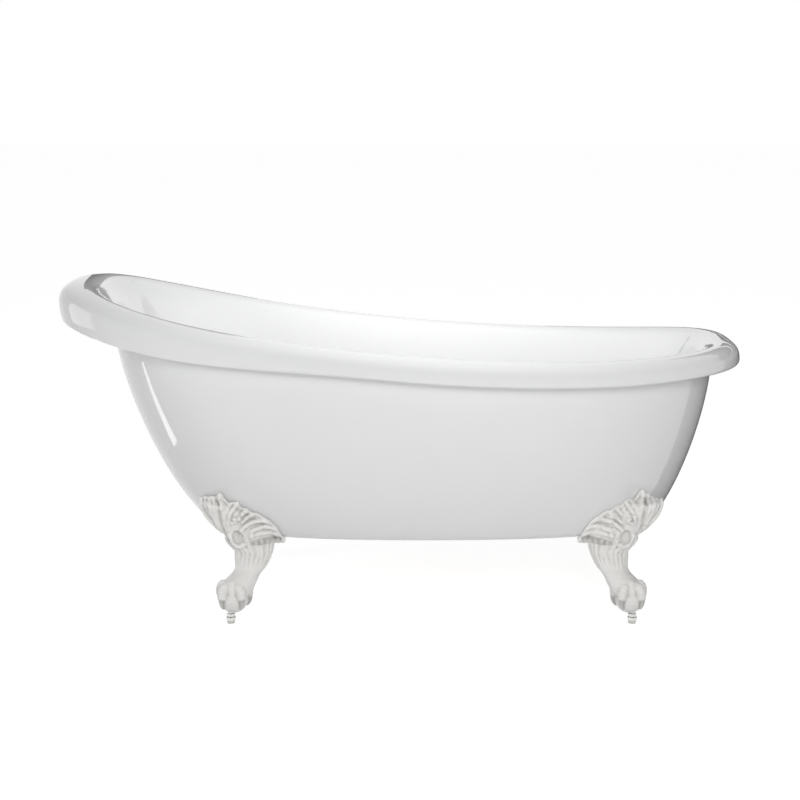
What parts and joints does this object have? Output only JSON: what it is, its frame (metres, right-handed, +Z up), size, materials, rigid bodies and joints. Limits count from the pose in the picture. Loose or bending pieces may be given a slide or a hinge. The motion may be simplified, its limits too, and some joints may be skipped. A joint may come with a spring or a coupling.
{
  "type": "clawfoot bathtub",
  "caption": "Double-skinned slipper bath with a rolled rim, raised sloping back, cast ball-and-claw feet with levelling screws, push-open waste and overflow.",
  "frame": {"origin": "on the floor under the middle of the bath's bounding box", "axes": "+Z up, +X from the high sloping back towards the waste and overflow end, +Y to the far side of the bath"},
  "size_m": [1.7002, 0.7702, 0.8233],
  "materials": {
    "bath_acrylic": "high gloss white sanitary acrylic, smooth",
    "foot_enamel": "satin off-white enamel over a cast surface, slightly darker in the recesses",
    "zinc_steel": "zinc-plated steel, turned",
    "chrome": "polished chrome plate",
    "brass": "turned brass",
    "black_rubber": "matte moulded rubber",
    "waste_plastic": "satin white moulded plastic",
    "glide_plastic": "matte grey moulded plastic",
    "chipboard": "sealed chipboard",
    "timber": "planed softwood"
  },
  "bodies": {
    "tub": {"inner_tub": "bath_acrylic", "outer_skirt": "bath_acrylic", "base_board": "chipboard", "support_rail_front": "timber", "support_rail_back": "timber", "rail_inserts": "zinc_steel", "foot_bolts": "zinc_steel", "foot_washers": "zinc_steel", "threaded_bushes": "zinc_steel", "lock_nuts": "zinc_steel", "waste_flange": "chrome", "overflow_face": "chrome", "plug_cartridge": "brass", "waste_upper_seal": "black_rubber", "waste_lower_seal": "black_rubber", "overflow_seal": "black_rubber", "waste_shoe": "waste_plastic", "tail_nut": "waste_plastic", "tailpiece": "chrome", "overflow_elbow": "waste_plastic", "overflow_pipe": "waste_plastic", "pipe_nuts": "waste_plastic", "claw_foot_head_front": "foot_enamel", "claw_foot_head_back": "foot_enamel", "claw_foot_drain_front": "foot_enamel", "claw_foot_drain_back": "foot_enamel"},
    "plug": {"drain_plug": "chrome", "plug_seal": "black_rubber", "plug_stem": "brass"},
    "pad_head_front": {"levelling_pad_head_front": "glide_plastic"},
    "screw_head_front": {"levelling_screw_head_front": "zinc_steel"},
    "pad_head_back": {"levelling_pad_head_back": "glide_plastic"},
    "screw_head_back": {"levelling_screw_head_back": "zinc_steel"},
    "pad_drain_front": {"levelling_pad_drain_front": "glide_plastic"},
    "screw_drain_front": {"levelling_screw_drain_front": "zinc_steel"},
    "pad_drain_back": {"levelling_pad_drain_back": "glide_plastic"},
    "screw_drain_back": {"levelling_screw_drain_back": "zinc_steel"}
  },
  "joints": [
    {"name": "plug_lift", "type": "slide", "parent": "tub", "child": "plug", "axis": [0, 0, 1], "range_m": [0, 0.01]},
    {"name": "pad_slide_head_front", "type": "slide", "parent": "tub", "child": "pad_head_front", "axis": [0, 0, -1], "range_m": [0, 0.012]},
    {"name": "screw_spin_head_front", "type": "hinge", "parent": "pad_head_front", "child": "screw_head_front", "pos_m": [-0.417, -0.265, 0.0127], "axis": [0, 0, -1], "range_deg": [0, 2880]},
    {"name": "pad_slide_head_back", "type": "slide", "parent": "tub", "child": "pad_head_back", "axis": [0, 0, -1], "range_m": [0, 0.012]},
    {"name": "screw_spin_head_back", "type": "hinge", "parent": "pad_head_back", "child": "screw_head_back", "pos_m": [-0.417, 0.265, 0.0127], "axis": [0, 0, -1], "range_deg": [0, 2880]},
    {"name": "pad_slide_drain_front", "type": "slide", "parent": "tub", "child": "pad_drain_front", "axis": [0, 0, -1], "range_m": [0, 0.012]},
    {"name": "screw_spin_drain_front", "type": "hinge", "parent": "pad_drain_front", "child": "screw_drain_front", "pos_m": [0.571, -0.265, 0.0127], "axis": [0, 0, -1], "range_deg": [0, 2880]},
    {"name": "pad_slide_drain_back", "type": "slide", "parent": "tub", "child": "pad_drain_back", "axis": [0, 0, -1], "range_m": [0, 0.012]},
    {"name": "screw_spin_drain_back", "type": "hinge", "parent": "pad_drain_back", "child": "screw_drain_back", "pos_m": [0.571, 0.265, 0.0127], "axis": [0, 0, -1], "range_deg": [0, 2880]}
  ],
  "couplings": [
    {"joint": "screw_spin_head_front", "follows": "pad_slide_head_front", "rad_per_m": 4188.8},
    {"joint": "screw_spin_head_back", "follows": "pad_slide_head_back", "rad_per_m": 4188.8},
    {"joint": "screw_spin_drain_front", "follows": "pad_slide_drain_front", "rad_per_m": 4188.8},
    {"joint": "screw_spin_drain_back", "follows": "pad_slide_drain_back", "rad_per_m": 4188.8}
  ]
}
